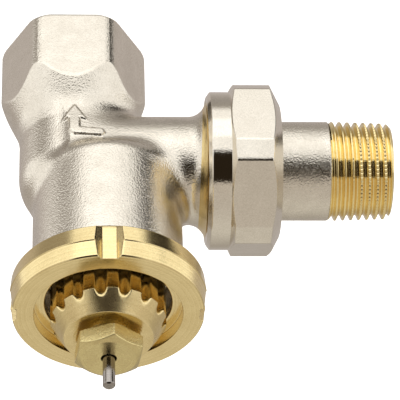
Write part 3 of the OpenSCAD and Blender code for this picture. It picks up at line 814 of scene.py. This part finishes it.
def bonnet():
    """The bonnet: a cone with fluted sides, its stem going down into the chamber."""
    seat, low, top = COLLAR_FACE - 7.7, BONNET_BOTTOM, BONNET_TOP
    land_r, depth, cutter, count = 9.25, 0.7, 1.1, 15
    flute_top, flute_at = COLLAR_FACE + 1.5, math.radians(98.4)
    centre_r = land_r - depth + cutter
    profile = rounded([
        (low, 2.04), (low, 7.5), (low + 0.6, 8.1), (low + 4.55, 8.1), (low + 4.55, 6.7), (low + 6.05, 6.7),
        (low + 6.05, 8.1), (seat - 8, 8.1), (seat - 8, 8.75), (seat, 8.75), (seat, land_r),
        (flute_top, land_r, 0.1), (top, 7.12, 0.15), (top, 4.06, 0.1), (GLAND_BOTTOM, 4.02),
        (GLAND_BOTTOM, 3.55), (seat - 5.7, 3.55), (seat - 5.7, 2.04), (low + 3.25, 2.04),
        (low + 3.25, 3.34), (low + 1.95, 3.34), (low + 1.95, 2.04),
    ])
    profile = spread(profile, 0.5)
    per_flute = 26
    angles = flute_at + np.linspace(0, TAU, count * per_flute, endpoint=False)

    def limit(along, radius, angle):
        turn = np.mod(angle - flute_at + TAU / count / 2, TAU / count) - TAU / count / 2
        inside = cutter**2 - (centre_r * np.sin(turn)) ** 2
        groove = np.where(inside > 0, centre_r * np.cos(turn) - np.sqrt(np.maximum(inside, 0)), 99.0)
        fluted = (along > seat + 0.05) & (radius > 5)
        return np.where(fluted, soft_min(radius, groove, 0.12), radius)

    lathe("fluted_bonnet", profile, on_spindle, "body", brass_spindle, angles, limit,
          replaces=("bonnet",))


def gland():
    """The gland nut: a chamfered hexagon on a round stem."""
    low, face = GLAND_BOTTOM, GLAND_FACE
    hex_low, af = face - 2.95, 10
    face_r = 0.89 * af / 2
    corner_r = af / math.sqrt(3)
    blank_r = corner_r + 0.2  # the hexagon is cut from a round blank of this radius
    slope = math.tan(math.radians(30))
    profile = rounded([
        (low, 2.54), (low, 4.0), (low + 1.15, 4.0), (low + 1.15, 3.1), (low + 2.05, 3.1), (low + 2.05, 4.0),
        (low + 5, 4.0), (low + 5, 3.5), (hex_low, 3.5, 0.05), (hex_low, corner_r - 0.25, 0.05),
        (hex_low + 0.15, blank_r, 0.05), (face - (blank_r - face_r) * slope, blank_r, 0.05),
        (face, face_r, 0.1), (face, 1.23, 0.12), (low + 4.4, 1.23), (low + 4.4, 2.54),
    ])
    profile = spread(profile, 0.25)
    corner_at = math.radians(90 - 8)

    def limit(along, radius, angle):
        outer = (radius > 3.6) & (along > hex_low - 0.01)
        return np.where(outer, soft_min(radius, hex_radius(angle, af, corner_at), 0.08), radius)

    angles = corner_at + np.linspace(0, TAU, 240, endpoint=False)
    lathe("gland_hexagon", profile, on_spindle, "body", brass_gland, angles, limit,
          replaces=("gland_nut",))


def push_pin():
    """The push pin, with a small dimple in its tip."""
    low, tip = PIN_BOTTOM, PIN_TIP
    profile = rounded([
        (low, 0), (low, 2.0), (low + 1.2, 2.0), (low + 1.2, 1.0), (tip - 0.3, 1.0, 0.15), (tip, 0.72, 0.12),
        (tip, 0.42, 0.05), (tip - 0.12, 0.22, 0.1), (tip - 0.16, 0),
    ], closed=False)
    profile = spread(profile, 0.8, closed=False)
    angles = np.linspace(0, TAU, 64, endpoint=False)
    lathe("push_pin", profile, on_spindle, "spindle_train", steel_pin, angles, closed=False,
          replaces=("pressure_pin",))


# ------------------------------------------------------------------ the union

def nut():
    """The union nut: a hexagon whose corners are cut by leaning facets, with a round collar."""
    lean = math.radians(6.5)
    round_end = NUT_START + 3.75
    af, corner_r, collar_r = 27, 14.8, 13.2
    lip, lip_r = NUT_END - 3, 8.63
    thread_r, bore_r = UNION_R + 0.25, UNION_R - 0.66
    corner_at = math.radians(27.3)
    profile = rounded([
        (NUT_START, thread_r + 0.3, 0.1), (NUT_START, collar_r - 0.9, 0.15),
        (NUT_START + 0.6, collar_r, 0.25),
        (round_end, collar_r, 0.06), (round_end + 0.75, corner_r, 0.12), (NUT_END - 1.9, corner_r, 0.2),
        (NUT_END - 0.02, 11.2, 0.35), (NUT_END, lip_r, 0.15), (lip, lip_r, 0.1), (lip, thread_r, 0.1),
        (SPIGOT_END + 0.2, thread_r, 0.1), (SPIGOT_END + 0.2, bore_r, 0.1), (NUT_START + 1.2, bore_r, 0.1),
    ])
    profile = spread(profile, 0.22)
    sector = np.concatenate([  # degrees round one corner, close together where an edge runs
        np.linspace(-8.5, -3.5, 14), np.linspace(-3, 3, 5), np.linspace(3.5, 8.5, 14),
        np.linspace(9.5, 50.5, 36),
    ])
    angles = np.concatenate([corner_at + np.radians(60 * k + sector) for k in range(6)])

    def limit(along, radius, angle):
        outer = (radius > 11.2) & (along > round_end + 0.02)
        facets = facet_radius(angle, 14.6, corner_at, lean)
        sides = soft_min(hex_radius(angle, af, corner_at), facets, 0.06)
        limited = np.where(outer, soft_min(radius, sides, 0.12), radius)
        thread = (radius < bore_r + 0.05) & (along > NUT_START + 1.2) & (along < SPIGOT_END + 0.1)
        height = thread_height(along / UNION_PITCH - angle / TAU + 0.5)
        return np.where(thread, limited + (thread_r - bore_r) * height, limited)

    lathe("hexagon_nut", profile, on_outlet, "nut", nickel_turned, angles, limit,
          replaces=("union_nut",))


def tail():
    """The tailpiece's plated part, from its O-ring groove to the thread."""
    start, thread_x = TAIL_NOSE, TAIL_END - TAIL_THREAD_LENGTH
    flange = start + 2.8
    profile = rounded([
        (start, 5.5), (start, 8.2), (start + 0.4, 8.6), (start + 0.8, 8.6), (start + 0.8, 7.3),
        (start + 2.1, 7.3), (start + 2.1, 8.6), (flange, 8.6), (flange, 10.1), (flange + 1.8, 10.1),
        (flange + 1.8, 8.27),
        (thread_x - 0.05, 8.27, 0.15), (thread_x + 0.05, 7.4), (thread_x + 0.05, 5.5),
    ])
    profile = spread(profile, 0.6)
    lathe("tailpiece", profile, on_outlet, "tail", nickel_tail, replaces=("union_tail",))


def tail_thread():
    """The tapered male thread in bare brass. Its rows follow the helix, and small nicks break the
    crests of the last turns so that packing holds in them."""
    rows_per_pitch = 18
    nicks = 74
    columns = nicks * 6
    start, end = TAIL_END - TAIL_THREAD_LENGTH, TAIL_END
    turns = int((end - start) / PIPE_PITCH) + 3
    rows = turns * rows_per_pitch + 1
    u = (np.arange(rows) / rows_per_pitch - 1)[:, None]
    angle = np.linspace(0, TAU, columns, endpoint=False)[None, :]
    along = start + 0.25 + PIPE_PITCH * (u + angle / TAU)
    height = thread_height(u + 0 * angle)
    crest = PIPE_R - (along - start) / PIPE_TAPER
    root = crest - PIPE_DEPTH
    wave = 0.5 - 0.5 * np.cos(nicks * angle)
    strength = smooth_step(along, start + 3.2, start + 5.2)
    nick = 0.17 * strength * smooth_step(height, 0.82, 1.0) * smooth_step(wave, 0.35, 0.9)
    radius = root + (crest - root) * height - nick
    runout = smooth_step(along, start - 0.1, start + 0.9)
    radius = 8.1 * (1 - runout) + radius * runout
    bevel = 7.35 + np.maximum(end - along, 0) * 1.1
    radius = soft_min(radius, bevel, 0.1)
    along = np.clip(along, start, end)
    thread = on_outlet(along, radius, angle + 0 * u)
    quads = [ring_quads(rows, columns, False, rows_per_pitch)]
    edge = rounded([
        (end, 7.35, 0.05), (end, 5.95, 0.15), (end - 0.5, 5.6, 0.05), (end - 7, 5.55), (end - 7, 5.45),
        (start, 5.45), (start, 8.1),
    ], 0.1, closed=False)
    edge = spread(edge, 0.8, closed=False)
    along2, angle2 = np.meshgrid(edge[:, 0], angle[0], indexing="ij")
    radius2 = np.repeat(edge[:, 1][:, None], columns, 1)
    keyed = (along2 > end - 6.99) & (radius2 < 6.4)
    key = hex_radius(angle2, 11.0, math.radians(30))
    radius2 = np.where(keyed, np.maximum(radius2, key), radius2)
    inner = on_outlet(along2, radius2, angle2)
    quads.append(ring_quads(len(edge), columns, False) + rows * columns)
    points = np.concatenate([thread.reshape(-1, 3), inner.reshape(-1, 3)])
    make_piece("tail_thread", points, np.concatenate(quads), "tail", brass_thread)


# ------------------------------------------------------------------ build

forging()
inlet_liner()
union_spigot()
collar()
bonnet()
gland()
push_pin()
nut()
tail()
tail_thread()

# the CAD nodes that stay as they are, and what each is made of
CARRIED = {
    "bonnet_o_ring": rubber, "spindle_o_ring": rubber, "gland_o_ring": rubber, "pin_o_rings": rubber,
    "tail_o_ring": rubber, "seat_disc": rubber, "gland_bush": ptfe, "spindle": steel_pin,
    "spindle_clip": steel_spring, "return_spring": steel_spring, "spring_seat": brass_spindle,
    "valve_plug": brass_spindle, "disc_washer": steel_pin, "disc_nut": steel_pin,
}
for name, material in CARRIED.items():
    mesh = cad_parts[name].data
    mesh.materials.clear()
    mesh.materials.append(material)


# ------------------------------------------------------------------ studio

# the camera looks at a point a little off the middle of the CAD box, from far away
middle = (cad_low + cad_high) / 2
target = middle + Vector((0.66, 0, -3.01)) * MM
azimuth, elevation, roll = (math.radians(v) for v in (183.757, 39.224, 177.733))
distance = 422.445 * MM
level = math.cos(elevation)
towards = Vector((math.sin(azimuth) * level, -math.cos(azimuth) * level, math.sin(elevation)))
level_up = (Vector((0, 0, 1)) - towards * towards.z).normalized()
level_right = level_up.cross(towards)
right = math.cos(roll) * level_right + math.sin(roll) * level_up
up = -math.sin(roll) * level_right + math.cos(roll) * level_up

camera_data = bpy.data.cameras.new("camera")
camera_data.sensor_width = 36
camera_data.lens = 229.82
camera_data.clip_start = 0.01
camera = bpy.data.objects.new("camera", camera_data)
bpy.context.scene.collection.objects.link(camera)
eye = target + towards * distance
camera.matrix_world = Matrix((
    (right.x, up.x, towards.x, eye.x),
    (right.y, up.y, towards.y, eye.y),
    (right.z, up.z, towards.z, eye.z),
    (0, 0, 0, 1),
))
bpy.context.scene.camera = camera


def direction(sideways, upwards):
    """A direction from the object, in degrees away from the camera in the camera's own frame."""
    s, u = math.radians(sideways), math.radians(upwards)
    flat = towards * math.cos(s) * math.cos(u) + right * math.sin(s) * math.cos(u)
    return (flat + up * math.sin(u)).normalized()


def soft_box(name, sideways, upwards, far, width, height, power):
    """A lamp in metres and watts that faces the object."""
    light = bpy.data.lights.new(name, "AREA")
    light.shape = "RECTANGLE"
    light.size, light.size_y = width, height
    light.energy = power
    lamp = bpy.data.objects.new(name, light)
    bpy.context.scene.collection.objects.link(lamp)
    away = direction(sideways, upwards)
    lamp.location = target + away * far
    lamp.rotation_euler = away.to_track_quat("Z", "Y").to_euler()


def floor():
    """A wide pale table top under the inlet."""
    half = 3.0
    mesh = bpy.data.meshes.new("floor")
    square = [(-half, -half, 0), (half, -half, 0), (half, half, 0), (-half, half, 0)]
    mesh.from_pydata(square, [], [(0, 1, 2, 3)])
    ground = bpy.data.objects.new("floor", mesh)
    bpy.context.scene.collection.objects.link(ground)
    ground.location.z = -0.05 * MM
    material, tree, shader = new_material("table_top")
    shade = span(tree, noise(tree, place_of(tree)[0], 0.01, 2), 0.3, 0.7, 0.9, 0.94)
    pale = blend_colour(tree, shade, (0.88, 0.88, 0.88), (0.94, 0.94, 0.94))
    tree.links.new(pale, shader.inputs["Base Color"])
    shader.inputs["Roughness"].default_value = 0.7
    shader.inputs["Emission Color"].default_value = (1, 1, 1, 1)
    shader.inputs["Emission Strength"].default_value = 1.0
    mesh.materials.append(material)
    ground.visible_glossy = False


# The tent's shades by direction. TENT's angles are degrees upwards from the object's line to the
# camera, so 90 is overhead in the picture and -90 is below.
TENT_STRENGTH = 1.2
GAP_SHADE = (0.02, 0.014, 0.008)
BACK_SHADE = (0.44, 0.405, 0.385)
SIDE_SHADE = (0.95, 0.94, 0.92)
SLOT_LEFT = (0.30, 0.275, 0.25)
SLOT_RIGHT = (0.03, 0.026, 0.022)
TENT = [
    (-140, (0.36, 0.33, 0.29)), (-100, (0.58, 0.55, 0.49)), (-50, (0.50, 0.46, 0.41)),
    (-18, (0.50, 0.455, 0.40)), (28, (1.0, 1.0, 0.99)), (98, (1.0, 0.99, 0.97)), (108, (0.34, 0.32, 0.29)),
    (125, (0.32, 0.30, 0.28)), (155, (0.46, 0.42, 0.40)),
]


def band(tree, angle, start, full, end=None, clear=None):
    """1 for angles between full and end, falling to 0 at start and at clear, all in degrees."""
    rise = span(tree, angle, math.radians(start), math.radians(full))
    if end is None:
        return rise
    return math_node(tree, "MULTIPLY", rise, span(tree, angle, math.radians(clear), math.radians(end)))


def studio():
    """The tent round the object, as a function of direction: a bright sheet from above the camera
    to overhead, bright sides, a duller bottom and back, two slots high at the back, and a dark gap
    where the camera looks in."""
    world = bpy.data.worlds.new("studio")
    bpy.context.scene.world = world
    world.use_nodes = True
    tree = world.node_tree
    background = tree.nodes["Background"]
    coords = tree.nodes.new("ShaderNodeTexCoord")
    parts = []
    for axis in (right, up, towards):
        dot = tree.nodes.new("ShaderNodeVectorMath")
        dot.operation = "DOT_PRODUCT"
        dot.inputs[1].default_value = tuple(axis)
        tree.links.new(coords.outputs["Generated"], dot.inputs[0])
        parts.append(dot.outputs["Value"])
    sideways = math_node(tree, "ABSOLUTE", math_node(tree, "ARCSINE", parts[0]))
    upwards = math_node(tree, "ARCTAN2", parts[1], parts[2])
    place = span(tree, upwards, -math.pi, math.pi, 0, 1)
    ramp = tree.nodes.new("ShaderNodeValToRGB")
    tree.links.new(place, ramp.inputs[0])
    points = ramp.color_ramp.elements
    points[0].position, points[0].color = 0, (*BACK_SHADE, 1)
    points[1].position, points[1].color = 1, (*BACK_SHADE, 1)
    for degrees, shade in TENT:
        point = points.new(0.5 + degrees / 360)
        point.color = (*shade, 1)
    sides = math_node(tree, "MULTIPLY", band(tree, sideways, 51, 55), band(tree, upwards, 20, 50))
    behind = band(tree, upwards, 84, 92, 128, 140)
    slots = math_node(tree, "MULTIPLY", behind, band(tree, sideways, 28, 32))
    slot_shade = blend_colour(tree, span(tree, parts[0], -0.01, 0.01), SLOT_LEFT, SLOT_RIGHT)
    colour = blend_colour(tree, slots, ramp.outputs[0], slot_shade)
    colour = blend_colour(tree, sides, colour, SIDE_SHADE)
    gap = math_node(tree, "MULTIPLY", band(tree, upwards, -18, -16, 28, 30), band(tree, sideways, 34, 29))
    colour = blend_colour(tree, gap, colour, GAP_SHADE)
    tree.links.new(colour, background.inputs["Color"])
    background.inputs["Strength"].default_value = TENT_STRENGTH


floor()
studio()
soft_box("key_box", -25, 65, 0.9, 0.8, 0.5, 0.5)

bpy.context.scene.view_settings.view_transform = "Standard"
